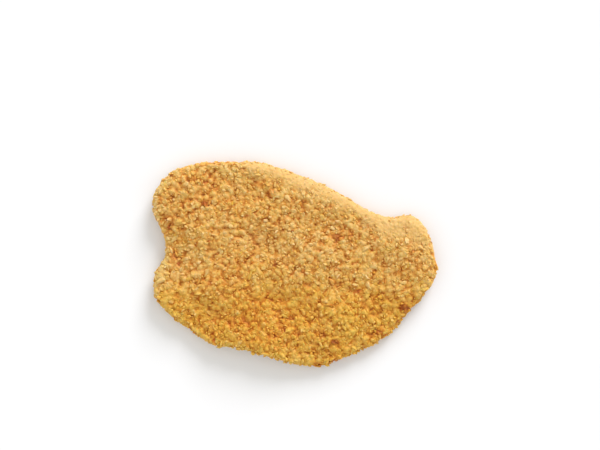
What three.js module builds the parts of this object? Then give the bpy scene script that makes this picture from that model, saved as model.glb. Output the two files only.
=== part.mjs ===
// A breaded schnitzel: one pounded cutlet under a coat of coarse crumbs, lying flat.
// Millimetres, +Z up. The origin is on the surface it lies on, under the middle of its box.
// +X runs along its length, towards the narrow end, and +Y towards its long rolled edge.
import * as THREE from "three";
import { ConvexHull } from "three/addons/math/ConvexHull.js";

// Thickness of the cutlet with its coat.
const RIM_HEIGHT = 4.2; // where the side stands furthest out
const EDGE_THICKNESS = 8.2; // just inside the rim
const MIDDLE_THICKNESS = 11; // at the middle
const CROWN_REACH = 22; // how far in from the rim the top keeps rising
const TOP_ROLL = 4.5; // width of the round shoulder over the rim
const UNDER_ROLL = 3.5; // width of the round shoulder under it

// The edge on the +Y side is rolled over: it is fuller and rounder than the rest.
const ROLLED_EDGE = { from: 12, to: 112, ramp: 14 }; // headings from the middle, in degrees
const ROLLED_THICKNESS = 9.4;
const ROLLED_WIDTH = 8;

// Parts of the rim that curl up off the surface: where, how high and how far in.
const CURLS = [
  { x: -86, y: 40, height: 3.4, reach: 40 },
  { x: 84, y: -4, height: 2.2, reach: 40 },
  { x: -26, y: -56, height: 4.6, reach: 40 },
  { x: -86, y: -16, height: 2.6, reach: 32 },
];

// Long swells that pounding leaves in the top: height, length and heading in degrees.
const SWELLS = [
  { height: 0.6, length: 52, heading: 24, shift: 0.6 },
  { height: 0.5, length: 37, heading: 106, shift: 2.1 },
  { height: 0.35, length: 24, heading: 61, shift: 4.4 },
  { height: 0.25, length: 19, heading: 158, shift: 1.3 },
];
const SWELL_INSET = 14; // how far in from the rim they reach their full height

// The outline seen from above, anticlockwise from the narrow end.
const OUTLINE_POINTS = [
  [84.6, -2.5],
  [82.9, 8],
  [80.2, 17.5],
  [76.6, 24],
  [70, 29.3],
  [60, 27.9],
  [49, 30.1],
  [36, 36.8],
  [18, 46.9],
  [0, 54.3],
  [-15, 59.4],
  [-31, 61.1],
  [-62.6, 59.3],
  [-80.3, 48.4],
  [-84.7, 33],
  [-77.4, 10],
  [-83.6, -8.5],
  [-82.3, -21.6],
  [-69.6, -34.5],
  [-49.8, -47.2],
  [-33, -49.8],
  [-5, -58.4],
  [14.8, -60.6],
  [34.6, -54],
  [53, -44.4],
  [68.8, -28.6],
  [80.8, -14.6],
];

// Crumbs on top stand out of the coat, with gaps between them.
const TOP_CRUMBS = { spacing: 3.5, radius: [1.2, 2.3], height: [0.4, 1.5] };
const TOP_GAP = 0.5;

// Crumbs underneath have heights that are shares of the depth of the gaps between them. It rests
// on a level spot under the middle and on three crumbs around it. The others stay just clear.
const UNDER_CRUMBS = { spacing: 5, radius: [2, 3.4], height: [0.6, 1] };
const UNDER_GAP = 0.9;
const UNDER_CLEARANCE = 0.15;
const LEVEL_SPOT = { x: 0, y: 0, radius: 8 };
const RESTING_CRUMBS = [
  { x: -56, y: -22 },
  { x: -28, y: 46 },
  { x: 44, y: -6 },
];

// Crumbs along the rim stick out, or leave a gap.
const RIM_CRUMB_SHARE = 0.55; // of the points along the rim
const RIM_CRUMB_REACH = [0.2, 1.5];
const RIM_GAP_REACH = [-0.5, 0.1];
const RIM_WAVER = [-1, 1]; // up and down

// The rolled edge keeps only part of the relief, out to an inset where the crumbs take over.
const SMOOTH_EDGE = { relief: 0.45, from: 6, to: 13 };

// Mesh.
const TOP_POINT_SPACING = 2.2;
const UNDER_POINT_SPACING = 3.2;
const RIM_POINT_SPACING = 2;
const SCATTER = 0.3; // of the spacing
const RIM_SCATTER = 0.2;
const SHOULDER_INSET = 0.8; // a ring of points this far inside the rim, above and below
const RING_CLEARANCE = 0.75; // of the spacing, between that ring and the points inside it
const PARABOLOID_FLATNESS = 100;
const SEED = 7;

const { clamp, smoothstep, lerp, seededRandom, degToRad, radToDeg } = THREE.MathUtils;

const between = ([low, high]) => lerp(low, high, seededRandom());

const outline = new THREE.CatmullRomCurve3(
  OUTLINE_POINTS.map(([x, y]) => new THREE.Vector3(x, y, 0)),
  true,
  "catmullrom",
  0.5,
);
const OUTLINE_STEPS = 600;
const rim = outline.getSpacedPoints(OUTLINE_STEPS).slice(0, -1);

// Whether a plan point lies inside a loop: a line from it crosses the loop an odd number of times.
function isInside(loop, x, y) {
  let inside = false;
  loop.forEach((a, n) => {
    const b = loop[(n + 1) % loop.length];
    const crosses = a.y > y !== b.y > y;
    if (crosses && x < a.x + ((b.x - a.x) * (y - a.y)) / (b.y - a.y)) inside = !inside;
  });
  return inside;
}

// Distance from a plan point to the rim.
function insetOf(x, y) {
  return rim.reduce((nearest, p) => Math.min(nearest, Math.hypot(p.x - x, p.y - y)), Infinity);
}

// 1 along the rolled edge, 0 along the rest of the rim.
function rolledShare(x, y) {
  const { from, to, ramp } = ROLLED_EDGE;
  const heading = radToDeg(Math.atan2(y, x));
  return smoothstep(heading, from - ramp, from + ramp) * (1 - smoothstep(heading, to - ramp, to + ramp));
}

// How far the cutlet is lifted off the surface there.
function curl(x, y) {
  return CURLS.reduce((lift, c) => {
    const far = Math.hypot(x - c.x, y - c.y);
    return lift + c.height * (1 - smoothstep(far, 0, c.reach));
  }, 0);
}

function swell(x, y) {
  return SWELLS.reduce((height, s) => {
    const along = x * Math.cos(degToRad(s.heading)) + y * Math.sin(degToRad(s.heading));
    return height + s.height * Math.sin((2 * Math.PI * along) / s.length + s.shift);
  }, 0);
}

// Share of the full height at an inset from the rim, rising as a quarter ellipse.
function roll(inset, width) {
  const out = 1 - clamp(inset / width, 0, 1);
  return Math.sqrt(1 - out * out);
}

// Height of the smooth top, before crumbs.
function topHeight(x, y, inset) {
  const rolled = rolledShare(x, y);
  const width = lerp(TOP_ROLL, ROLLED_WIDTH, rolled);
  const edge = lerp(EDGE_THICKNESS, ROLLED_THICKNESS, rolled);
  const crown = 1 - Math.exp(-Math.max(inset - width, 0) / CROWN_REACH);
  const shoulder = lerp(RIM_HEIGHT, edge, roll(inset, width));
  const rise = (MIDDLE_THICKNESS - edge) * crown + swell(x, y) * smoothstep(inset, 0, SWELL_INSET);
  return shoulder + rise + curl(x, y);
}

// Height of the smooth underside, before its crumbs.
function underHeight(x, y, inset) {
  return RIM_HEIGHT * (1 - roll(inset, UNDER_ROLL)) + curl(x, y);
}

// Scattered points of a hexagonal lattice, those that lie inside the rim by more than a margin.
function scatterInside(spacing, margin) {
  const points = [];
  const rowStep = (spacing * Math.sqrt(3)) / 2;
  const { min, max } = new THREE.Box3().setFromPoints(rim);
  for (let row = 0; min.y + row * rowStep < max.y; row++) {
    for (let x = min.x + (row % 2) * (spacing / 2); x < max.x; x += spacing) {
      const px = x + spacing * between([-SCATTER, SCATTER]);
      const py = min.y + row * rowStep + spacing * between([-SCATTER, SCATTER]);
      if (isInside(rim, px, py) && insetOf(px, py) > margin) points.push({ x: px, y: py });
    }
  }
  return points;
}

function scatterCrumbs({ spacing, radius, height }) {
  return scatterInside(spacing, 0).map((p) => ({ ...p, radius: between(radius), height: between(height) }));
}

// Height of the tallest crumb at a plan point, or 0 in a gap.
function crumbAt(crumbs, x, y) {
  return crumbs.reduce((tallest, c) => {
    const out = Math.hypot(x - c.x, y - c.y) / c.radius;
    return out < 1 ? Math.max(tallest, c.height * (1 - out ** 4)) : tallest;
  }, 0);
}

// Height of the top with its crumbs.
function topRelief(crumbs, x, y) {
  const inset = insetOf(x, y);
  const smooth = rolledShare(x, y) * (1 - smoothstep(inset, SMOOTH_EDGE.from, SMOOTH_EDGE.to));
  const relief = (crumbAt(crumbs, x, y) || -TOP_GAP) * lerp(1, SMOOTH_EDGE.relief, smooth);
  return topHeight(x, y, inset) + relief * roll(inset, TOP_ROLL);
}

// Height of the underside with its crumbs.
function underRelief(crumbs, x, y) {
  if (Math.hypot(x - LEVEL_SPOT.x, y - LEVEL_SPOT.y) < LEVEL_SPOT.radius) return 0;
  const gap = UNDER_GAP * (1 - crumbAt(crumbs, x, y));
  return underHeight(x, y, insetOf(x, y)) + UNDER_CLEARANCE + gap;
}

// Lowers the point nearest to each resting crumb onto the surface.
function setDown(points) {
  for (const crumb of RESTING_CRUMBS) {
    const far = (p) => Math.hypot(p.x - crumb.x, p.y - crumb.y);
    points.reduce((nearest, p) => (far(p) < far(nearest) ? p : nearest)).z = 0;
  }
}

// Points along the rim, moved in by an inset.
function ringOf(inset) {
  const count = Math.round(outline.getLength() / RIM_POINT_SPACING);
  return Array.from({ length: count }, (_, n) => {
    const along = (n + 0.5 + between([-RIM_SCATTER, RIM_SCATTER])) / count;
    const p = outline.getPointAt(along);
    const tangent = outline.getTangentAt(along);
    const out = new THREE.Vector2(tangent.y, -tangent.x);
    return { along, x: p.x - out.x * inset, y: p.y - out.y * inset, out };
  });
}

// Moves a ring's points in or out for the crumbs along the rim.
function roughen(ring) {
  for (const p of ring) {
    const isCrumb = seededRandom() < RIM_CRUMB_SHARE;
    const relief = lerp(1, SMOOTH_EDGE.relief, rolledShare(p.x, p.y));
    const reach = relief * between(isCrumb ? RIM_CRUMB_REACH : RIM_GAP_REACH);
    p.x += p.out.x * reach;
    p.y += p.out.y * reach;
  }
}

// Triangles over a ring and the points inside it, anticlockwise seen from above. Lifted onto a
// paraboloid, the points have a hull whose underside is their Delaunay triangulation.
function triangulate(ring, points) {
  const lifted = [...ring, ...points].map((p) => {
    const place = new THREE.Vector3(p.x, p.y, (p.x ** 2 + p.y ** 2) / PARABOLOID_FLATNESS);
    return Object.assign(place, { source: p });
  });
  const triangles = [];
  for (const face of new ConvexHull().setFromPoints(lifted).faces) {
    const corners = [face.edge.next, face.edge, face.edge.prev].map((edge) => edge.head().point);
    const x = (corners[0].x + corners[1].x + corners[2].x) / 3;
    const y = (corners[0].y + corners[1].y + corners[2].y) / 3;
    if (face.normal.z < 0 && isInside(ring, x, y)) triangles.push(corners.map((c) => c.source));
  }
  return triangles;
}

// Triangles between two rings, from a lower one to a higher one, taking the next point on
// whichever ring is behind.
function zip(lower, upper) {
  const triangles = [];
  const at = (ring, n) => ring[n % ring.length];
  const alongOf = (ring, n) => at(ring, n).along + Math.floor(n / ring.length);
  let low = 0;
  let high = 0;
  while (low < lower.length || high < upper.length) {
    const [start, end] = [at(lower, low), at(upper, high)];
    const lowerIsBehind = alongOf(lower, low + 1) < alongOf(upper, high + 1);
    if (lowerIsBehind) low++;
    else high++;
    triangles.push([start, lowerIsBehind ? at(lower, low) : at(upper, high), end]);
  }
  return triangles;
}

function cutletGeometry() {
  seededRandom(SEED);
  const topCrumbs = scatterCrumbs(TOP_CRUMBS);
  const underCrumbs = scatterCrumbs(UNDER_CRUMBS);
  const topRing = ringOf(SHOULDER_INSET);
  const rimRing = ringOf(0);
  const underRing = ringOf(SHOULDER_INSET);
  const topMargin = SHOULDER_INSET + RING_CLEARANCE * TOP_POINT_SPACING;
  const underMargin = SHOULDER_INSET + RING_CLEARANCE * UNDER_POINT_SPACING;
  const topPoints = scatterInside(TOP_POINT_SPACING, topMargin);
  const underPoints = scatterInside(UNDER_POINT_SPACING, underMargin);
  const triangles = [
    ...triangulate(topRing, topPoints),
    ...zip(rimRing, topRing),
    ...zip(underRing, rimRing),
    ...triangulate(underRing, underPoints).map((corners) => corners.reverse()),
  ];
  const top = [...topRing, ...topPoints];
  const under = [...underRing, ...underPoints];

  for (const p of top) p.z = topRelief(topCrumbs, p.x, p.y);
  for (const p of under) p.z = underRelief(underCrumbs, p.x, p.y);
  setDown(under);
  for (const p of rimRing) p.z = RIM_HEIGHT + curl(p.x, p.y) + between(RIM_WAVER);
  for (const ring of [topRing, rimRing, underRing]) roughen(ring);

  const vertices = [...top, ...rimRing, ...under];
  vertices.forEach((p, n) => (p.index = n));
  const places = vertices.flatMap((p) => [p.x, p.y, p.z]);
  const geometry = new THREE.BufferGeometry();
  geometry.setAttribute("position", new THREE.Float32BufferAttribute(places, 3));
  geometry.setIndex(triangles.flat().map((p) => p.index));
  geometry.computeBoundingBox();
  const middle = geometry.boundingBox.getCenter(new THREE.Vector3());
  geometry.translate(-middle.x, -middle.y, 0);
  geometry.computeVertexNormals();
  return geometry;
}

const breading = new THREE.MeshStandardMaterial({ color: 0xd49f54, roughness: 0.75, metalness: 0 });

const schnitzel = new THREE.Mesh(cutletGeometry(), breading);
schnitzel.name = "schnitzel";

const part = new THREE.Group();
part.add(schnitzel);

export default part;
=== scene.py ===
import math

import bmesh
import bpy
import numpy as np
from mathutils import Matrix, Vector
from mathutils.geometry import delaunay_2d_cdt


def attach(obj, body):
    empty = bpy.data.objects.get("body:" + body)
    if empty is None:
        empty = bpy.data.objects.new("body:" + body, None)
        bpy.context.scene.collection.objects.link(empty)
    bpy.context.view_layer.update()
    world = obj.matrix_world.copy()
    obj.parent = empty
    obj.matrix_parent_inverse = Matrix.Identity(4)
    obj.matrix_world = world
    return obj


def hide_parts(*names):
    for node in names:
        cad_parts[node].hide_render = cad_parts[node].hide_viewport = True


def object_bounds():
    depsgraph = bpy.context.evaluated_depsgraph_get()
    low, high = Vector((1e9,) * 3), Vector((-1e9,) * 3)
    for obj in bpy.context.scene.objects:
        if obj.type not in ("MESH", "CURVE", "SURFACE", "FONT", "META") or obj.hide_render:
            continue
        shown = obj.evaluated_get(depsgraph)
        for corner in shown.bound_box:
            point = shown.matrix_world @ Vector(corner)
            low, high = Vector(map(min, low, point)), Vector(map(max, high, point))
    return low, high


# A breaded schnitzel under soft studio light. Its coat is modelled crumb by crumb over a crust
# that follows the cutlet's own shape. The shape is worked out in millimetres, on the drawing
# plane of the cutlet, and becomes metres in the row frame when a piece is made.

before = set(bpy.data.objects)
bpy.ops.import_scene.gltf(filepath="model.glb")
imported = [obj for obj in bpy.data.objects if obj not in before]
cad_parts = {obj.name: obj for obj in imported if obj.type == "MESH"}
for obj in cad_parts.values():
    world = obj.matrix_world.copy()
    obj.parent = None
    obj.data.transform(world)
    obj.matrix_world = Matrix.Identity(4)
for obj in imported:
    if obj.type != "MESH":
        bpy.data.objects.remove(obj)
cad_low, cad_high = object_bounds()

MM = 0.001
TINY = 1e-9
SEED = 11
rng = np.random.default_rng(SEED)

# ------------------------------------------------------------------ the cutlet's shape

# The side bulges out furthest at the rim's height. The top rolls over to it within one inset,
# and the underside within another.
RIM_HEIGHT = 4.2
EDGE_THICKNESS = 8.2
MIDDLE_THICKNESS = 11
CROWN_REACH = 22
TOP_ROLL = 2.4
UNDER_ROLL = 3.5

# The long edge is thicker and rolls over more widely, between two headings from the middle.
ROLLED_FROM, ROLLED_TO, ROLLED_RAMP = 12, 112, 14
ROLLED_THICKNESS = 9.4
ROLLED_WIDTH = 8

# Parts of the rim that curl up: x, y, height, reach.
CURLS = [(-86, 40, 3.4, 40), (84, -4, 2.2, 40), (-26, -56, 4.6, 40), (-86, -16, 2.6, 32)]

# Swells of the top: height, length, heading in degrees, shift.
SWELLS = [(0.6, 52, 24, 0.6), (0.5, 37, 106, 2.1), (0.35, 24, 61, 4.4), (0.25, 19, 158, 1.3)]
SWELL_INSET = 14

OUTLINE_STEPS = 60
OUTLINE_POINTS = [
    (84.6, -2.5),
    (82.9, 8),
    (80.2, 17.5),
    (76.6, 24),
    (70, 29.3),
    (60, 27.9),
    (49, 30.1),
    (36, 36.8),
    (18, 46.9),
    (0, 54.3),
    (-15, 59.4),
    (-31, 61.1),
    (-62.6, 59.3),
    (-80.3, 48.4),
    (-84.7, 33),
    (-77.4, 10),
    (-83.6, -8.5),
    (-82.3, -21.6),
    (-69.6, -34.5),
    (-49.8, -47.2),
    (-33, -49.8),
    (-5, -58.4),
    (14.8, -60.6),
    (34.6, -54),
    (53, -44.4),
    (68.8, -28.6),
    (80.8, -14.6),
]


def smoothstep(x, low, high):
    t = np.clip((x - low) / (high - low), 0, 1)
    return t * t * (3 - 2 * t)


def blend(a, b, share):
    return a + (b - a) * share


def catmull_rom(points, steps):
    """A closed uniform Catmull-Rom curve through the points."""
    p1 = np.array(points, float)
    p0, p2, p3 = np.roll(p1, 1, 0), np.roll(p1, -1, 0), np.roll(p1, -2, 0)
    t = (np.arange(steps) / steps)[None, :, None]
    p0, p1, p2, p3 = (p[:, None] for p in (p0, p1, p2, p3))
    curve = 2 * p1 + (p2 - p0) * t
    curve = curve + (2 * p0 - 5 * p1 + 4 * p2 - p3) * t**2
    curve = curve + (3 * p1 - p0 - 3 * p2 + p3) * t**3
    return (curve / 2).reshape(-1, 2)


def evenly(loop, spacing):
    """Points at even steps along a closed loop, and the direction out of it at each."""
    closed = np.vstack([loop, loop[:1]])
    along = np.r_[0, np.cumsum(np.linalg.norm(np.diff(closed, axis=0), axis=1))]
    count = round(along[-1] / spacing)
    at = np.arange(count) * along[-1] / count
    points = np.stack([np.interp(at, along, closed[:, k]) for k in (0, 1)], 1)
    tangent = np.roll(points, -1, 0) - np.roll(points, 1, 0)
    tangent /= np.linalg.norm(tangent, axis=1, keepdims=True)
    return points, np.stack([tangent[:, 1], -tangent[:, 0]], 1)


RIM_STEP = 0.65
fine_outline = catmull_rom(OUTLINE_POINTS, OUTLINE_STEPS)
rim, rim_out = evenly(fine_outline, RIM_STEP)

# Points compared with the whole rim at a time, to save memory.
CHUNK = 4000


def in_chunks(function, points):
    parts = [function(points[n : n + CHUNK]) for n in range(0, len(points), CHUNK)]
    return np.concatenate(parts)


def inset_of(points):
    """Distance of plan points from the rim."""
    return in_chunks(lambda p: np.linalg.norm(p[:, None] - rim[None], axis=2).min(1), points)


def is_inside(points):
    """Whether plan points lie inside the rim: a line from each crosses it an odd number of times."""
    ends = np.roll(rim, -1, 0)
    rise = np.where(ends[:, 1] == rim[:, 1], TINY, ends[:, 1] - rim[:, 1])

    def test(p):
        x, y = p[:, :1], p[:, 1:]
        spans = (rim[:, 1] > y) != (ends[:, 1] > y)
        left = x < rim[:, 0] + (ends[:, 0] - rim[:, 0]) * (y - rim[:, 1]) / rise
        return (spans & left).sum(1) % 2 == 1

    return in_chunks(test, points)


def heading_of(p):
    """Direction of plan points from the drawing's origin, in degrees from +X."""
    return np.degrees(np.arctan2(p[:, 1], p[:, 0]))


def rolled_share(p):
    """1 along the long rolled edge, 0 away from it."""
    heading = heading_of(p)
    rising = smoothstep(heading, ROLLED_FROM - ROLLED_RAMP, ROLLED_FROM + ROLLED_RAMP)
    return rising * (1 - smoothstep(heading, ROLLED_TO - ROLLED_RAMP, ROLLED_TO + ROLLED_RAMP))


def curl(p):
    """How far the cutlet curls up off the floor."""
    lift = np.zeros(len(p))
    for x, y, height, reach in CURLS:
        far = np.hypot(p[:, 0] - x, p[:, 1] - y)
        lift += height * (1 - smoothstep(far, 0, reach))
    return lift


def swell(p):
    """Gentle rise and fall of the top."""
    height = np.zeros(len(p))
    for size, length, heading, shift in SWELLS:
        turn = math.radians(heading)
        along = p[:, 0] * math.cos(turn) + p[:, 1] * math.sin(turn)
        height += size * np.sin(2 * math.pi * along / length + shift)
    return height


def roll(inset, width):
    """A quarter round: 0 at the rim, 1 from the given width inwards."""
    out = 1 - np.clip(inset / width, 0, 1)
    return np.sqrt(1 - out * out)


def top_height(p, inset):
    rolled = rolled_share(p)
    width = blend(TOP_ROLL, ROLLED_WIDTH, rolled)
    edge = blend(EDGE_THICKNESS, ROLLED_THICKNESS, rolled)
    crown = 1 - np.exp(-np.maximum(inset - width, 0) / CROWN_REACH)
    shoulder = blend(RIM_HEIGHT, edge, roll(inset, width))
    rise = (MIDDLE_THICKNESS - edge) * crown + swell(p) * smoothstep(inset, 0, SWELL_INSET)
    return shoulder + rise + curl(p)


def under_height(p, inset):
    return RIM_HEIGHT * (1 - roll(inset, UNDER_ROLL)) + curl(p)


# ------------------------------------------------------------------ noise

LATTICE = 32
LUMP_SIZES = (0.65, 1.15)


def as_space(points, cell):
    """Points in cells, with a height of zero where they have none."""
    place = np.asarray(points) / cell
    if place.shape[1] == 2:
        place = np.column_stack([place, np.zeros(len(place))])
    return place


def value_noise(points, cell, seed):
    """Smooth noise from -1 to 1 over points in millimetres, with lumps about one cell wide."""
    lattice = np.random.default_rng(seed).uniform(-1, 1, (LATTICE,) * 3)
    place = as_space(points, cell)
    base = np.floor(place).astype(int)
    t = place - base
    t = t * t * (3 - 2 * t)
    total = np.zeros(len(place))
    for corner in np.ndindex(2, 2, 2):
        weight = np.prod(np.where(np.array(corner), t, 1 - t), axis=1)
        x, y, z = ((base + corner) % LATTICE).T
        total += weight * lattice[x, y, z]
    return total


def waves(points, layers):
    """The sum of several noises, each with its own height, cell and seed."""
    return sum(height * value_noise(points, cell, seed) for height, cell, seed in layers)


def grown_lumps(points, cell, seed, lean=0, flatness=2):
    """Height from 0 to about 1 over a bed of lumps that have grown into each other.

    Each lump leans its own way, and has a flatter top the more flatness it has.
    """
    random = np.random.default_rng(seed)
    middle = random.uniform(0, 1, (LATTICE,) * 3 + (3,))
    size = random.uniform(*LUMP_SIZES, (LATTICE,) * 3)
    slope = lean * random.normal(0, 1, (LATTICE,) * 3 + (3,))
    place = as_space(points, cell)
    base = np.floor(place).astype(int)
    height = np.zeros(len(place))
    for step in np.ndindex(3, 3, 3):
        corner = base + np.array(step) - 1
        x, y, z = (corner % LATTICE).T
        away = place - corner - middle[x, y, z]
        far = np.linalg.norm(away, axis=1) / size[x, y, z]
        lump = size[x, y, z] * (1 - far**flatness) + (away * slope[x, y, z]).sum(1)
        height = np.maximum(height, lump)
    return height


# ------------------------------------------------------------------ the crust under the crumbs

# Spacing of the crust's points on top and underneath, and in shares of it, how far each point
# scatters and how far the first ones stay from the rings round the side.
TOP_STEP = 0.54
UNDER_STEP = 1.0
LATTICE_SCATTER = 0.28
FIRST_GAP = 0.6
SIDE_INSETS = [1.7, 1.15, 0.7, 0.35, 0.1, 0]

# What delaunay_2d_cdt is told: to keep only what lies inside, and how near counts as the same.
INSIDE_ONLY = 1
SAME_WITHIN = 1e-7


def lattice_inside(step, margin):
    """Scattered points of a hexagonal lattice inside the rim by more than the margin."""
    low, high = rim.min(0), rim.max(0)
    columns = np.arange(low[0], high[0], step)
    rows = np.arange(low[1], high[1], step * math.sqrt(3) / 2)
    x, y = np.meshgrid(columns, rows)
    x = x + (np.arange(len(rows)) % 2)[:, None] * step / 2
    points = np.stack([x.ravel(), y.ravel()], 1)
    points += rng.uniform(-LATTICE_SCATTER, LATTICE_SCATTER, points.shape) * step
    points = points[is_inside(points)]
    return points[inset_of(points) > margin]


def triangulate(ring, inner):
    """Triangles over a ring and the points inside it, anticlockwise seen from above."""
    plan = np.vstack([ring, inner])
    corners = [Vector(p) for p in plan.tolist()]
    edges = [(n, (n + 1) % len(ring)) for n in range(len(ring))]
    made = delaunay_2d_cdt(corners, edges, [], INSIDE_ONLY, SAME_WITHIN)
    source = [ids[0] for ids in made[3]]
    faces = np.array([[source[n] for n in face] for face in made[2]])
    a, b, c = (plan[faces[:, k]] for k in (0, 1, 2))
    turn = (b - a)[:, 0] * (c - a)[:, 1] - (b - a)[:, 1] * (c - a)[:, 0]
    faces[turn < 0] = faces[turn < 0][:, ::-1]
    return faces


def sheet(ring, step, height):
    """Points that fill the inside of a ring at the given height, and triangles over both."""
    plan = lattice_inside(step, SIDE_INSETS[0] + FIRST_GAP * step)
    return np.column_stack([plan, height(plan, inset_of(plan))]), triangulate(ring[:, :2], plan)


def band(low, high, count):
    """Triangles of a band between two rings of vertices, numbered from low and from high."""
    n = np.arange(count)
    m = (n + 1) % count
    return np.vstack(
        [np.stack([low + n, low + m, high + m], 1), np.stack([low + n, high + m, high + n], 1)]
    )


def vertex_normals(points, faces):
    a, b, c = (points[faces[:, k]] for k in (0, 1, 2))
    across = np.cross(b - a, c - a)
    normals = np.zeros_like(points)
    for k in (0, 1, 2):
        np.add.at(normals, faces[:, k], across)
    return normals / np.linalg.norm(normals, axis=1, keepdims=True)


def make_body():
    """Points and triangles of the smooth cutlet, closed, at the CAD part's size."""
    ring_count = len(rim)
    rings = []
    insets = [(i, top_height) for i in SIDE_INSETS]
    insets += [(i, under_height) for i in SIDE_INSETS[-2::-1]]
    for inset, height in insets:
        plan = rim - rim_out * inset
        rings.append(np.column_stack([plan, height(plan, np.full(ring_count, float(inset)))]))
    last_ring = (len(rings) - 1) * ring_count
    sides = [band(n + ring_count, n, ring_count) for n in range(0, last_ring, ring_count)]
    points = np.vstack(rings)

    top, top_faces = sheet(rings[0], TOP_STEP, top_height)
    inner = top_faces - ring_count + len(points)
    top_faces = np.where(top_faces < ring_count, top_faces, inner)
    points = np.vstack([points, top])

    under, under_faces = sheet(rings[-1], UNDER_STEP, under_height)
    under_faces = under_faces[:, ::-1]
    inner = under_faces - ring_count + len(points)
    under_faces = np.where(under_faces < ring_count, under_faces + last_ring, inner)
    points = np.vstack([points, under])
    return points, np.vstack([*sides, top_faces, under_faces])


drawing_middle = (fine_outline.min(0) + fine_outline.max(0)) / 2
box_middle = np.array([cad_low.x + cad_high.x, cad_low.y + cad_high.y]) / 2 / MM
shift = np.array([*(box_middle - drawing_middle), 0])


def make_piece(name, points, faces, attributes, material, smooth):
    """A mesh object in the row frame, from millimetres on the drawing plane."""
    mesh = bpy.data.meshes.new(name)
    mesh.vertices.add(len(points))
    mesh.vertices.foreach_set("co", ((points + shift) * MM).astype(np.float32).ravel())
    mesh.loops.add(faces.size)
    mesh.loops.foreach_set("vertex_index", faces.astype(np.int32).ravel())
    mesh.polygons.add(len(faces))
    mesh.polygons.foreach_set("loop_start", np.arange(0, faces.size, 3, dtype=np.int32))
    mesh.polygons.foreach_set("use_smooth", np.full(len(faces), smooth))
    mesh.update(calc_edges=True)
    mesh.validate()
    for key, values in attributes.items():
        layer = mesh.attributes.new(key, "FLOAT", "POINT")
        layer.data.foreach_set("value", values.astype(np.float32))
    mesh.materials.append(material)
    piece = bpy.data.objects.new(name, mesh)
    bpy.context.scene.collection.objects.link(piece)
    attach(piece, "root")
    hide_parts("schnitzel")
    return piece


# ------------------------------------------------------------------ material


def srgb(r, g, b):
    """A colour given as it looks on a screen, as light."""
    channels = [c / 255 for c in (r, g, b)]
    return [c / 12.92 if c <= 0.04045 else ((c + 0.055) / 1.055) ** 2.4 for c in channels] + [1]


# The crumbs' colours from the gaps between them to their tips, by where they come on the ramp. The
# gap colour is partly the browner colour down in the gaps and partly painted shade, and the tip
# colour is partly painted highlight.
GAP_AND_SHADE_COLOUR = srgb(171, 92, 32)
LOW_COLOUR = srgb(202, 138, 60)
MID_COLOUR = srgb(211, 166, 93)
TIP_AND_HIGHLIGHT_COLOUR = srgb(214, 182, 124)
STOPS = [(0.0, GAP_AND_SHADE_COLOUR), (0.35, LOW_COLOUR), (0.62, MID_COLOUR), (1.0, TIP_AND_HIGHLIGHT_COLOUR)]

# The pale band's colour: partly a finer, paler coat, partly painted highlight on the edge facing the
# key light.
BAND_COLOUR_AND_HIGHLIGHT = srgb(209, 170, 107)
SCORCHED_COLOUR = srgb(105, 58, 25)
YELLOW_TINT = (0.97, 0.875, 0.375, 1)

# Noises over the coat, in waves to a metre: the grain of its colour, patches where it is oilier,
# and the fine pores of its surface.
GRAIN = {"Scale": 1100, "Detail": 3, "Roughness": 0.6}
GRAIN_SHARE = 0.3
OILY_PATCHES = {"Scale": 160, "Detail": 2}
OILY_TO_DRY = {"From Min": 0.3, "From Max": 0.7, "To Min": 0.5, "To Max": 0.75}
PORES = {"Scale": 2200, "Detail": 3}
PORE_STRENGTH, PORE_DEPTH = 0.6, 0.00015

SUBSURFACE = 0.55
SUBSURFACE_RADIUS = (1.0, 0.65, 0.3)
SUBSURFACE_SCALE = 0.0014
SPECULAR = 0.28

# Sockets of a colour mix.
MIX_A, MIX_B, MIX_RESULT = 6, 7, 2


def node(tree, kind, inputs=None, **settings):
    """A shader node, its inputs linked to sockets or set to values."""
    made = tree.nodes.new(kind)
    for key, value in settings.items():
        setattr(made, key, value)
    for key, value in (inputs or {}).items():
        if isinstance(value, bpy.types.NodeSocket):
            tree.links.new(value, made.inputs[key])
        else:
            made.inputs[key].default_value = value
    return made


def mixed(tree, share, below, above, blend_type="MIX"):
    inputs = {"Factor": share, MIX_A: below, MIX_B: above}
    made = node(tree, "ShaderNodeMix", inputs, data_type="RGBA", blend_type=blend_type)
    return made.outputs[MIX_RESULT]


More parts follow.
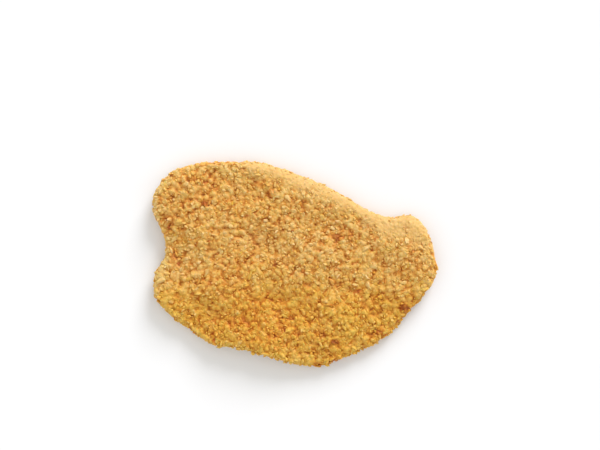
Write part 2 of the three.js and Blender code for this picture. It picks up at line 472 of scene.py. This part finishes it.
def crumb_material():
    """Fried breadcrumb: deep orange in the gaps, golden on the sides and pale on the tips. This is
    partly its own colour, and partly painted shade in the gaps and painted highlight on the tips.
    """
    material = bpy.data.materials.new("breading")
    material.use_nodes = True
    tree = material.node_tree
    tree.nodes.clear()
    lift, tone, yellow, pale, scorched = (
        node(tree, "ShaderNodeAttribute", attribute_name=name).outputs["Fac"]
        for name in ("lift", "tone", "yellow", "pale", "scorched")
    )
    where = node(tree, "ShaderNodeTexCoord").outputs["Object"]
    grain, patches, pores = (
        node(tree, "ShaderNodeTexNoise", {"Vector": where, **noise}).outputs["Fac"]
        for noise in (GRAIN, OILY_PATCHES, PORES)
    )

    centred = {0: grain, 1: GRAIN_SHARE, 2: -GRAIN_SHARE / 2}
    grained = node(tree, "ShaderNodeMath", centred, operation="MULTIPLY_ADD").outputs[0]
    toned = node(tree, "ShaderNodeMath", {0: tone, 1: lift}, operation="ADD").outputs[0]
    level = node(tree, "ShaderNodeMath", {0: toned, 1: grained}, operation="ADD").outputs[0]

    ramp = node(tree, "ShaderNodeValToRGB", {"Fac": level})
    first, last = ramp.color_ramp.elements
    first.position, first.color = STOPS[0]
    last.position, last.color = STOPS[-1]
    for place, colour in STOPS[1:-1]:
        ramp.color_ramp.elements.new(place).color = colour

    yellowed = mixed(tree, yellow, ramp.outputs["Color"], YELLOW_TINT, "MULTIPLY")
    paled = mixed(tree, pale, yellowed, BAND_COLOUR_AND_HIGHLIGHT)
    darkened = mixed(tree, scorched, paled, SCORCHED_COLOUR)

    porous = {"Height": pores, "Strength": PORE_STRENGTH, "Distance": PORE_DEPTH}
    bump = node(tree, "ShaderNodeBump", porous).outputs["Normal"]
    gloss = node(tree, "ShaderNodeMapRange", {"Value": patches, **OILY_TO_DRY}).outputs["Result"]
    surface = {
        "Base Color": darkened,
        "Roughness": gloss,
        "Normal": bump,
        "Subsurface Weight": SUBSURFACE,
        "Subsurface Radius": SUBSURFACE_RADIUS,
        "Subsurface Scale": SUBSURFACE_SCALE,
        "Specular IOR Level": SPECULAR,
    }
    shader = node(tree, "ShaderNodeBsdfPrincipled", surface)
    node(tree, "ShaderNodeOutputMaterial", {"Surface": shader.outputs["BSDF"]})
    return material


# ------------------------------------------------------------------ where the coat varies

# The pale band along the rolled edge, partly a finer, paler coat and partly painted highlight where
# the edge faces the key light: the headings where it starts and ends, its width, which is larger
# towards the narrow end of the cutlet, and how it fades out across and down the side.
BAND_FROM, BAND_TO = (4, 14), (112, 122)
BAND_WIDTH = 8.5
WIDE_BAND = 12.5
WIDE_HEADING = (24, 36)
BAND_WAVES = [(2, 9, 15), (1.5, 3, 16)]
FADE_FROM, FADE_TO = 0.5, 1.3
BAND_HEIGHTS = (1, 4)
SHOULDER_HEIGHTS = (3, 7)


def pale_band_and_highlight(places):
    """1 on the pale rolled edge, which is partly painted highlight, 0 away from it."""
    plan = places[:, :2]
    heading = heading_of(plan)
    along = smoothstep(heading, *BAND_FROM) * (1 - smoothstep(heading, *BAND_TO))
    width = blend(WIDE_BAND, BAND_WIDTH, smoothstep(heading, *WIDE_HEADING))
    width += waves(plan, BAND_WAVES)
    across = 1 - smoothstep(inset_of(plan), FADE_FROM * width, FADE_TO * width)
    return along * across * smoothstep(places[:, 2], *BAND_HEIGHTS)


def smooth_band(places):
    """1 on the shoulder of the rolled edge, where the coat is thin and fine-grained."""
    return pale_band_and_highlight(places) * smoothstep(places[:, 2], *SHOULDER_HEIGHTS)


# Yellowness away from the -Y side, what it gains there, and how far towards -Y the gain starts
# and ends.
YELLOW_LEAST, YELLOW_GAIN = 0.22, 0.78
YELLOW_FROM, YELLOW_TO = 0, 32
YELLOW_EDGE_WAVES = [(6, 22, 9)]
YELLOW_WAVES = [(0.22, 2.6, 31), (0.18, 7, 32), (0.16, 15, 33)]


def yellowness(places):
    """How much yellower than the rest the coat is: most along the -Y side, and uneven all over."""
    down = -places[:, 1] + waves(places, YELLOW_EDGE_WAVES)
    side = smoothstep(down, YELLOW_FROM, YELLOW_TO)
    return YELLOW_LEAST + YELLOW_GAIN * side + waves(places, YELLOW_WAVES)


# Spots where the coat has browned more, and last a broad, faint one that darkens the lower middle of
# the top: x, y, reach, length over width, heading, strength.
BROWNED_SPOTS = [
    (-1.4, 19.4, 1.1, 1.3, 10, 1.6),
    (-53.4, 36.6, 2.8, 1.4, -20, 0.7),
    (24.3, 16.7, 2.8, 1.8, -5, 0.8),
    (33.6, 18.4, 2.2, 2.0, 80, 0.7),
    (23.9, -46.5, 1.5, 2.6, -8, 1.0),
    (66.0, -26.2, 2.9, 1.5, -35, 1.0),
    (51.3, -40.2, 2.6, 1.2, 20, 0.7),
    (12.9, -60, 3.0, 1.4, 0, 0.6),
    (23.7, -57.5, 2.8, 1.8, 15, 0.6),
    (-72.9, 4.8, 2.6, 1.6, 70, 0.6),
    (-23.1, 47.7, 2.4, 1.3, 0, 0.5),
    (21.9, 33.3, 2.2, 1.3, 60, 0.5),
    (37.5, -16.5, 1.8, 1.5, 30, 0.6),
    (-63.3, 50.7, 2.4, 1.2, 0, 0.5),
    (-80.2, 38.2, 2.4, 1.4, 80, 0.5),
    (-18, -35, 20, 1.3, -15, 0.18),
]

# Where a spot starts to fade and where it ends, in shares of its reach. Spots go down the side
# to the given height.
SPOT_CORE, SPOT_EDGE = 0.35, 1.15
SPOT_TONE = 0.55
BROWNED_DOWN_TO = 2.0


def browning(places):
    """0 away from the browned spots, up to each one's strength in its middle."""
    share = np.zeros(len(places))
    for x, y, reach, longer, heading, strength in BROWNED_SPOTS:
        turn = math.radians(heading)
        away = places[:, :2] - (x, y)
        along = away[:, 0] * math.cos(turn) + away[:, 1] * math.sin(turn)
        across = away[:, 1] * math.cos(turn) - away[:, 0] * math.sin(turn)
        far = np.hypot(along / longer, across)
        spot = strength * (1 - smoothstep(far, SPOT_CORE * reach, SPOT_EDGE * reach))
        share = np.maximum(share, spot)
    return share * (places[:, 2] > BROWNED_DOWN_TO)


SCORCHED_FROM, SCORCHED_TO = 0.6, 1.5
MOST_SCORCHED = 0.8


def scorch_of(browned):
    """Only the strongest spots are scorched as well."""
    return MOST_SCORCHED * smoothstep(browned, SCORCHED_FROM, SCORCHED_TO)


# Patches of the top where the crumbs are finer: x, y, reach.
FINE_PATCHES = [(-47, -1, 11), (0, -18, 17), (-22, 12, 10), (-52, 44, 9), (34, 0, 10), (50, 6, 8)]
FINE_CORE = 0.4


def fineness(places):
    """1 in the middle of the finer patches, 0 away from them."""
    share = np.zeros(len(places))
    for x, y, reach in FINE_PATCHES:
        far = np.hypot(places[:, 0] - x, places[:, 1] - y)
        share = np.maximum(share, 1 - smoothstep(far, FINE_CORE * reach, reach))
    return share * (places[:, 2] > RIM_HEIGHT)


# Clumps of crumbs: their height, width, seed, and mean height as a share.
CLUMP_HEIGHT, CLUMP_CELL, CLUMP_SEED, CLUMP_MEAN = 1.3, 3.0, 21, 0.62
HEAP_WAVES = [(0.5, 4.2, 23), (0.48, 8, 22)]

# How much less the coat rises, falls and scatters where it is smooth or calm.
CALM_SHARE = 0.7


def heap(places):
    """Rise and fall of the whole coat, where crumbs heap up in clumps or are missing."""
    field = CLUMP_HEIGHT * (grown_lumps(places, CLUMP_CELL, CLUMP_SEED) - CLUMP_MEAN)
    field += waves(places, HEAP_WAVES)
    return field * (1 - CALM_SHARE * smooth_band(places))


# Painted light: the rim on the side away from the key light is painted paler, as if lit there.
PAINTED_LIGHT_RIM_FROM, PAINTED_LIGHT_RIM_TO = (130, 160), (275, 305)
PAINTED_LIGHT_RIM_INSET = (1, 6)
PAINTED_LIGHT_RIM_TONE = 0.18
TONE_WAVES = [(0.07, 3, 11), (0.07, 6, 12), (0.08, 11, 13)]


def painted_light_rim(places):
    """1 along the rim that is painted paler as if lit, 0 away from it."""
    plan = places[:, :2]
    heading = heading_of(plan) % 360
    along = smoothstep(heading, *PAINTED_LIGHT_RIM_FROM) * (1 - smoothstep(heading, *PAINTED_LIGHT_RIM_TO))
    return along * (1 - smoothstep(inset_of(plan), *PAINTED_LIGHT_RIM_INSET))


def tone_and_painted_rim_light(places):
    """How much lighter or darker the coat is from place to place, with painted light along the rim
    away from the key light.
    """
    return waves(places, TONE_WAVES) + PAINTED_LIGHT_RIM_TONE * painted_light_rim(places)


# How far up the crust has to face before the coat there counts as seen from above, and to count
# fully.
UPWARD_FROM, UPWARD_TO = 0.55, 0.95


def upward(normals):
    return smoothstep(normals[:, 2], UPWARD_FROM, UPWARD_TO)


# ------------------------------------------------------------------ where crumbs lie

breading = crumb_material()
body, body_faces = make_body()
body_normals = vertex_normals(body, body_faces)

# Kinds of crumb, from the coarsest: radii, how many places to try, how close crumbs may lie as a
# share of their radii, and the corners that each is the hull of.
KINDS = [
    {"name": "crumbs_coarse", "radii": (1.8, 2.6), "tries": 1400, "closeness": 0.6, "corners": 30},
    {"name": "crumbs_medium", "radii": (1.35, 1.8), "tries": 12000, "closeness": 0.45, "corners": 21},
    {"name": "crumbs_small", "radii": (1.0, 1.35), "tries": 13000, "closeness": 0.45, "corners": 17},
    {"name": "crumbs_fine", "radii": (0.6, 0.95), "tries": 18000, "closeness": 0.45, "corners": 11},
]
MEDIUM = KINDS[1]
MOST_TRIANGLES = 195_000

# Over 1, it makes the smaller radii of a kind the commoner ones.
RADIUS_SKEW = 1.4

# Crumbs are fewer on the underside, where the crust faces down by more than this.
UNDER_FACING = -0.5
UNDER_SHARE = 0.55

# The share of crumbs left out of the smooth band at least, and the radii over which that grows to
# all of them. In a fine patch it grows from none.
BAND_LEFT_OUT = 0.6
BAND_COARSE = (0.9, 1.4)
PATCH_COARSE = (1.1, 1.5)


def pick_on(points, faces, normals, count):
    """Random places on a surface, fewer on its underside, with the normals there."""
    a, b, c = (points[faces[:, k]] for k in (0, 1, 2))
    across = np.cross(b - a, c - a)
    area = np.linalg.norm(across, axis=1)
    weight = area * np.where(across[:, 2] < UNDER_FACING * area, UNDER_SHARE, 1)
    chosen = rng.choice(len(faces), count, p=weight / weight.sum())
    u, v = rng.random(count), rng.random(count)
    flip = u + v > 1
    u, v = np.where(flip, 1 - u, u), np.where(flip, 1 - v, v)
    share = np.stack([1 - u - v, u, v], 1)[:, :, None]
    place = (points[faces[chosen]] * share).sum(1)
    normal = (normals[faces[chosen]] * share).sum(1)
    return place, normal / np.linalg.norm(normal, axis=1, keepdims=True)


class Spread:
    """Keeps crumbs apart: each new one has to clear those already there."""

    # About as far as the largest crumbs keep apart. Only the cells next to a crumb's are searched.
    CELL = 3.2
    AROUND = [(i, j, k) for i in (-1, 0, 1) for j in (-1, 0, 1) for k in (-1, 0, 1)]

    def __init__(self):
        self.cells = {}

    def is_clear(self, place, radius, cell, closeness):
        x, y, z = place
        i, j, k = cell
        for di, dj, dk in self.AROUND:
            for ox, oy, oz, other in self.cells.get((i + di, j + dj, k + dk), ()):
                gap = closeness * (radius + other)
                if (x - ox) ** 2 + (y - oy) ** 2 + (z - oz) ** 2 < gap * gap:
                    return False
        return True

    def add(self, places, radii, closeness):
        """The numbers of the places that are taken up, in the order given."""
        taken = []
        for n, (place, radius) in enumerate(zip(places.tolist(), radii.tolist())):
            cell = tuple(int(value // self.CELL) for value in place)
            if self.is_clear(place, radius, cell, closeness):
                self.cells.setdefault(cell, []).append((*place, radius))
                taken.append(n)
        return np.array(taken)


# Crumbs that stand out from the rest: x, y, half width, length over width, heading, tone.
FLAKES = [
    (-22.2, 4.2, 1.7, 1.35, 35, 0.34),
    (22.8, 21.3, 1.5, 1.7, -40, 0.34),
    (-1.5, 23.6, 1.5, 1.3, 10, 0.3),
    (47.4, -1.5, 1.6, 2.0, -5, 0.3),
    (-54.9, 33.3, 1.5, 1.3, -30, 0.26),
    (-60.2, 34.0, 1.4, 1.5, 20, 0.26),
    (-64.5, 47.7, 1.5, 1.4, 60, 0.26),
    (-22.5, 33.4, 1.4, 1.3, 0, 0.2),
    (65.1, -11.1, 1.5, 1.5, 15, 0.26),
    (-43.5, 6.9, 1.4, 1.3, 50, 0.3),
    (-6.3, -30.9, 1.5, 1.4, -15, 0.2),
    (24.8, -44.1, 1.35, 2.7, 4, -0.08),
]
FLAKE_HEIGHT = 0.6
FLAKE_RISE = 0.2
FLAKE_CORNERS = 34

# How much of a flake's half width other crumbs keep clear of.
FLAKE_CLEARANCE = 0.85


def flake_places():
    plan = np.array([flake[:2] for flake in FLAKES])
    return np.column_stack([plan, top_height(plan, inset_of(plan))])


def scatter_coat():
    """For each kind of crumb, the kind, and the places, normals and radii of its crumbs."""
    spread = Spread()
    widths = np.array([flake[2] for flake in FLAKES])
    spread.add(flake_places(), FLAKE_CLEARANCE / MEDIUM["closeness"] * widths, 0)
    coat = []
    for kind in KINDS:
        places, normals = pick_on(body, body_faces, body_normals, kind["tries"])
        low, high = kind["radii"]
        radii = low + (high - low) * rng.random(len(places)) ** RADIUS_SKEW
        in_band = BAND_LEFT_OUT + (1 - BAND_LEFT_OUT) * smoothstep(radii, *BAND_COARSE)
        in_patch = smoothstep(radii, *PATCH_COARSE)
        too_coarse = np.maximum(smooth_band(places) * in_band, fineness(places) * in_patch)
        keep = rng.random(len(places)) > too_coarse
        places, normals, radii = places[keep], normals[keep], radii[keep]
        taken = spread.add(places, radii, kind["closeness"])
        coat.append((kind, places[taken], normals[taken], radii[taken]))
    return coat


# ------------------------------------------------------------------ crumbs

PROTOTYPES = 48
CORNER_SCATTER = 0.3
CORNER_REACH = (0.55, 1)

# How far crumbs stand out of the crust, in shares of their radius: on top, at the rim and in the
# smooth band. They lie flatter and lower round the rim, less so along its ragged -Y side.
RISE, RIM_RISE, BAND_RISE = -0.3, 0.1, 0.05
TILT, RIM_TILT = 0.6, 0.2
CALM_DROP = 0.22
RAGGED, RAGGED_FROM = 0.95, (20, 55)

COAT_DEPTH = 0.5
HEIGHT_SCATTER = 0.3
FLOOR_CLEARANCE = 0.02

# Length, width and height of crumbs, in shares of their radius.
LONG, WIDE, HIGH = (0.95, 1.7), (0.62, 1.0), (0.44, 0.84)

# Crumbs vary in tone and yellowness. A few are browned or pale, and by how much.
TONE_SCATTER = 0.045
YELLOW_SCATTER = 0.22
BROWNED_SHARE, BROWNED_TONE = 0.035, 0.35
PALE_SHARE, PALE_TONE = 0.04, 0.2

# The most that the band's colour, partly painted highlight, takes over.
PALEST = 0.65

# Lift, which is 0 in the gaps and 1 on the tips: in the middle of a crumb, more at its own top, and
# more for each millimetre over the crust. Low places take the gaps' browner colour with painted
# shade, and high places take painted highlight.
CRUMB_LIFT, OWN_LIFT, RAISED_LIFT = 0.38, 0.4, 0.2
FLAKE_LIFT, FLAKE_OWN_LIFT = 0.5, 0.35


def crumb_shape(corners):
    """A broken crumb about a unit in radius: the hull of scattered corners."""
    n = np.arange(corners) + 0.5
    height = 1 - 2 * n / corners
    turn = n * math.pi * (1 + math.sqrt(5))
    across = np.sqrt(1 - height * height)
    heading = np.stack([across * np.cos(turn), across * np.sin(turn), height], 1)
    heading += rng.normal(0, CORNER_SCATTER, heading.shape)
    heading /= np.linalg.norm(heading, axis=1, keepdims=True)
    hull = bmesh.new()
    for corner in (heading * rng.uniform(*CORNER_REACH, (corners, 1))).tolist():
        hull.verts.new(corner)
    bmesh.ops.convex_hull(hull, input=hull.verts)
    loose = [vertex for vertex in hull.verts if not vertex.link_faces]
    bmesh.ops.delete(hull, geom=loose, context="VERTS")
    hull.verts.index_update()
    points = np.array([vertex.co for vertex in hull.verts])
    faces = np.array([[vertex.index for vertex in face.verts] for face in hull.faces])
    hull.free()
    return points, faces


def frames_about(normals, tilt):
    """A random turn about each normal, and a tilt off it, as matrices whose third column is up."""
    count = len(normals)
    up = normals + rng.normal(size=(count, 3)) * tilt
    up /= np.linalg.norm(up, axis=1, keepdims=True)
    side = rng.normal(size=(count, 3))
    side -= (side * up).sum(1, keepdims=True) * up
    side /= np.linalg.norm(side, axis=1, keepdims=True)
    return np.stack([side, np.cross(up, side), up], 2)


def crumbs_of(kind, places, normals, radii):
    """Name, points, triangles and attributes of all the crumbs of a kind."""
    shapes = [crumb_shape(kind["corners"]) for _ in range(PROTOTYPES)]
    most = int(MOST_TRIANGLES / np.mean([len(faces) for _, faces in shapes]))
    places, normals, radii = places[:most], normals[:most], radii[:most]
    count = len(places)
    stretch = np.stack([rng.uniform(*span, count) for span in (LONG, WIDE, HIGH)], 1)
    steep = 1 - np.abs(normals[:, 2])
    calm = steep * (1 - RAGGED * smoothstep(-places[:, 1], *RAGGED_FROM))
    frames = frames_about(normals, blend(TILT, RIM_TILT, calm)[:, None])
    smooth = smooth_band(places)
    rise = blend(blend(RISE, RIM_RISE, steep) - CALM_DROP * calm, BAND_RISE, smooth)
    calmed = 1 - CALM_SHARE * np.maximum(smooth, calm)
    scatter = HEIGHT_SCATTER * rng.normal(size=count) * calmed
    raised = radii * rise - COAT_DEPTH + heap(places) + scatter
    middles = places + normals * raised[:, None]

    browned = browning(places)
    tone = TONE_SCATTER * rng.normal(size=count) + tone_and_painted_rim_light(places)
    tone = tone - SPOT_TONE * np.minimum(browned, 1)
    luck = rng.random(count)
    tone = tone - BROWNED_TONE * (luck < BROWNED_SHARE) + PALE_TONE * (luck > 1 - PALE_SHARE)
    yellow = np.clip(yellowness(places) + YELLOW_SCATTER * rng.normal(size=count), 0, 1)

    choice = rng.integers(PROTOTYPES, size=count)
    points, faces, lifts, owners = [], [], [], []
    start = 0
    for number, (shape, shape_faces) in enumerate(shapes):
        mine = np.flatnonzero(choice == number)
        local = shape[None] * (stretch[mine] * radii[mine, None])[:, None]
        turned = np.einsum("nij,nvj->nvi", frames[mine], local)
        above = np.einsum("nvi,ni->nv", turned, normals[mine])
        own = above / np.abs(above).max(1, keepdims=True)
        # Painted shade and highlight: a crumb is darker low down, paler at its top, and paler the
        # higher it stands over the crust.
        lift = CRUMB_LIFT + OWN_LIFT * own + RAISED_LIFT * (above + raised[mine, None])
        points.append((turned + middles[mine, None]).reshape(-1, 3))
        numbers = start + np.arange(len(mine))[:, None, None] * len(shape)
        faces.append((shape_faces[None] + numbers).reshape(-1, 3))
        lifts.append(lift.ravel())
        owners.append(np.repeat(mine, len(shape)))
        start += len(mine) * len(shape)
    points = np.vstack(points)
    points[:, 2] = np.maximum(points[:, 2], FLOOR_CLEARANCE)
    owner = np.concatenate(owners)
    attributes = {
        "lift": np.clip(np.concatenate(lifts), 0, 1),
        "tone": tone[owner],
        "yellow": yellow[owner],
        "pale": PALEST * pale_band_and_highlight(places)[owner],
        "scorched": scorch_of(browned)[owner],
        "upward": upward(normals)[owner],
    }
    return kind["name"], points, np.vstack(faces), attributes


def flakes():
    """Name, points, triangles and attributes of the few crumbs that stand out from the rest."""
    middles = flake_places()
    middles[:, 2] += heap(middles) - COAT_DEPTH + FLAKE_RISE
    points, faces, lifts, tones = [], [], [], []
    start = 0
    for middle, (_, _, width, longer, heading, tone) in zip(middles, FLAKES):
        shape, shape_faces = crumb_shape(FLAKE_CORNERS)
        turn = math.radians(heading)
        local = shape * (width * longer, width, width * FLAKE_HEIGHT)
        x = local[:, 0] * math.cos(turn) - local[:, 1] * math.sin(turn)
        y = local[:, 0] * math.sin(turn) + local[:, 1] * math.cos(turn)
        points.append(np.stack([x, y, local[:, 2]], 1) + middle)
        faces.append(shape_faces + start)
        # Painted highlight: a flake is paler towards its top and darker towards its base.
        lifts.append(FLAKE_LIFT + FLAKE_OWN_LIFT * shape[:, 2])
        tones.append(np.full(len(shape), tone))
        start += len(shape)
    points = np.vstack(points)
    attributes = {
        "lift": np.concatenate(lifts),
        "tone": np.concatenate(tones),
        "yellow": np.clip(yellowness(points), 0, 1),
        "pale": np.zeros(len(points)),
        "scorched": np.zeros(len(points)),
    }
    return "flakes", points, np.vstack(faces), attributes


# ------------------------------------------------------------------ crust

# The crust's own lumps and the grit on them: width, seed, and mean height as a share. In the
# smooth band the lumps are lower and the grit a little higher.
LUMP_CELL, LUMP_SEED, LUMP_MEAN = 1.9, 3, 0.75
LUMP_LEAN, LUMP_FLATNESS = 0.45, 3
GRIT_CELL, GRIT_SEED, GRIT_MEAN = 1.1, 4, 0.5
LUMP_HEIGHT, GRIT_HEIGHT = 0.9, 0.35
BAND_LUMP_HEIGHT, BAND_GRIT_HEIGHT = 0.45, 0.4

# Lift of the crust, and how it grows with its relief and with the heap: its hollows take the gaps'
# browner colour with painted shade, and its lumps take painted highlight.
CRUST_LIFT, RELIEF_LIFT, HEAP_LIFT = 0.34, 0.5, 0.22
# In the smooth band the crust is lifted towards the tips' colour, partly as painted highlight.
BAND_LIFT, BAND_RELIEF_LIFT = 0.7, 0.6
CRUST_TONE_WAVES = [(0.08, 2.2, 6)]
CRUST_CLEARANCE = 0.04


def crust():
    """Name, points, triangles and attributes of the bed that the crumbs sit in.

    The bed is itself of crumbs that have grown together.
    """
    lumps = grown_lumps(body, LUMP_CELL, LUMP_SEED, LUMP_LEAN, LUMP_FLATNESS) - LUMP_MEAN
    grit = grown_lumps(body, GRIT_CELL, GRIT_SEED) - GRIT_MEAN
    smooth = smooth_band(body)
    relief = LUMP_HEIGHT * lumps + GRIT_HEIGHT * grit
    relief = blend(relief, BAND_LUMP_HEIGHT * lumps + BAND_GRIT_HEIGHT * grit, smooth)
    heaped = heap(body)
    depth = COAT_DEPTH * (1 - CALM_SHARE * smooth) - heaped - relief
    points = body - body_normals * depth[:, None]
    points[:, 2] = np.maximum(points[:, 2], CRUST_CLEARANCE)
    # Painted shade in the crust's hollows and painted highlight on its lumps.
    lift = CRUST_LIFT + RELIEF_LIFT * relief + HEAP_LIFT * heaped
    browned = browning(body)
    tone = waves(body, CRUST_TONE_WAVES) + tone_and_painted_rim_light(body)
    attributes = {
        "tone": tone - SPOT_TONE * np.minimum(browned, 1),
        "lift": np.clip(blend(lift, BAND_LIFT + BAND_RELIEF_LIFT * relief, smooth), 0, 1),
        "yellow": np.clip(yellowness(body), 0, 1),
        "pale": PALEST * pale_band_and_highlight(body),
        "scorched": scorch_of(browned),
        "upward": upward(body_normals),
    }
    return "crust", points, body_faces, attributes


# ------------------------------------------------------------------ the whole coat

# The skyline is the height of the coat's top, averaged over the blur on a grid of cells.
SKYLINE_CELL = 0.5
SKYLINE_BLUR = 1.9
SKYLINE_REACH = 10
SKYLINE_MARGIN = 3

# Lift at the skyline, how it changes with each millimetre over it, and how much this counts beside a
# crumb's own lift where the crust faces up. This is painted shade: places below the coat around them
# are darker, and places above it are paler.
LEVEL, SLOPE, SHOWN_SHARE = 0.77, 0.45, 0.72


def cells_of(points, corner):
    """Column and row of points on the skyline's grid."""
    return ((points[:, :2] - corner) / SKYLINE_CELL).astype(int).T


def skyline(points):
    """Mean height of the coat's top around each place, as a grid, and the grid's corner."""
    corner = points[:, :2].min(0) - SKYLINE_MARGIN
    size = ((points[:, :2].max(0) + SKYLINE_MARGIN - corner) / SKYLINE_CELL).astype(int)
    top = np.zeros(size)
    np.maximum.at(top, tuple(cells_of(points, corner)), points[:, 2])
    for axis in (0, 1):
        top = np.maximum(top, np.maximum(np.roll(top, 1, axis), np.roll(top, -1, axis)))
    steps = range(-SKYLINE_REACH, SKYLINE_REACH + 1)
    weights = [math.exp(-0.5 * (step * SKYLINE_CELL / SKYLINE_BLUR) ** 2) for step in steps]
    covered = (top > 0).astype(float)
    for axis in (0, 1):
        top = sum(weight * np.roll(top, step, axis) for step, weight in zip(steps, weights))
        covered = sum(weight * np.roll(covered, step, axis) for step, weight in zip(steps, weights))
    return top / np.maximum(covered, TINY), corner


coat = [crust()]
coat += [crumbs_of(*layer) for layer in scatter_coat()]
heights, corner = skyline(np.vstack([points for _, points, _, _ in coat]))
for name, points, faces, attributes in coat:
    # Painted shade in the coat's hollows, and painted highlight where it stands above its
    # surroundings.
    above = points[:, 2] - heights[tuple(cells_of(points, corner))]
    share = SHOWN_SHARE * attributes.pop("upward")
    attributes["lift"] = np.clip(blend(attributes["lift"], LEVEL + SLOPE * above, share), 0, 1)
    make_piece(name, points, faces, attributes, breading, smooth=name == "crust")
make_piece(*flakes(), breading, smooth=False)

# ------------------------------------------------------------------ stage

FLOOR_SIZE = 3.0
FLOOR_COLOUR = (0.81, 0.815, 0.865, 1)
FLOOR_ROUGHNESS = 0.8
FLOOR_SPECULAR = 0.2


def floor():
    half = FLOOR_SIZE / 2
    mesh = bpy.data.meshes.new("floor")
    corners = [(-half, -half, 0), (half, -half, 0), (half, half, 0), (-half, half, 0)]
    mesh.from_pydata(corners, [], [(0, 1, 2, 3)])
    material = bpy.data.materials.new("floor")
    material.use_nodes = True
    shader = material.node_tree.nodes["Principled BSDF"]
    shader.inputs["Base Color"].default_value = FLOOR_COLOUR
    shader.inputs["Roughness"].default_value = FLOOR_ROUGHNESS
    shader.inputs["Specular IOR Level"].default_value = FLOOR_SPECULAR
    mesh.materials.append(material)
    made = bpy.data.objects.new("floor", mesh)
    bpy.context.scene.collection.objects.link(made)


# Suns: name, where the light comes from, strength, and the angle it fills in degrees.
SUNS = [("key", (0.44, 0.9, 0.46), 2.85, 30), ("low", (-0.7, -0.75, 0.3), 0.45, 70)]
FILL_COLOUR = (1, 0.99, 0.91, 1)
FILL_STRENGTH = 0.85


def lights():
    for name, comes_from, strength, angle in SUNS:
        sun = bpy.data.lights.new(name, "SUN")
        sun.energy = strength
        sun.angle = math.radians(angle)
        lamp = bpy.data.objects.new(name, sun)
        lamp.rotation_euler = Vector(comes_from).to_track_quat("Z", "Y").to_euler()
        bpy.context.scene.collection.objects.link(lamp)
    world = bpy.data.worlds.new("studio")
    world.use_nodes = True
    world.node_tree.nodes["Background"].inputs["Color"].default_value = FILL_COLOUR
    world.node_tree.nodes["Background"].inputs["Strength"].default_value = FILL_STRENGTH
    bpy.context.scene.world = world


# The camera looks straight down at this place, in millimetres, and sees this width at the height
# of the cutlet's side.
CAMERA_OVER = (3.3, 23.1)
FRAME_WIDTH = 360
SIDE_HEIGHT = 4
LENS = 85
SENSOR = 36


def camera():
    data = bpy.data.cameras.new("camera")
    data.lens = LENS
    data.sensor_width = SENSOR
    made = bpy.data.objects.new("camera", data)
    height = SIDE_HEIGHT + FRAME_WIDTH * LENS / SENSOR
    made.location = Vector((*CAMERA_OVER, height)) * MM
    bpy.context.scene.collection.objects.link(made)
    bpy.context.scene.camera = made


floor()
lights()
camera()
bpy.context.scene.view_settings.view_transform = "Standard"
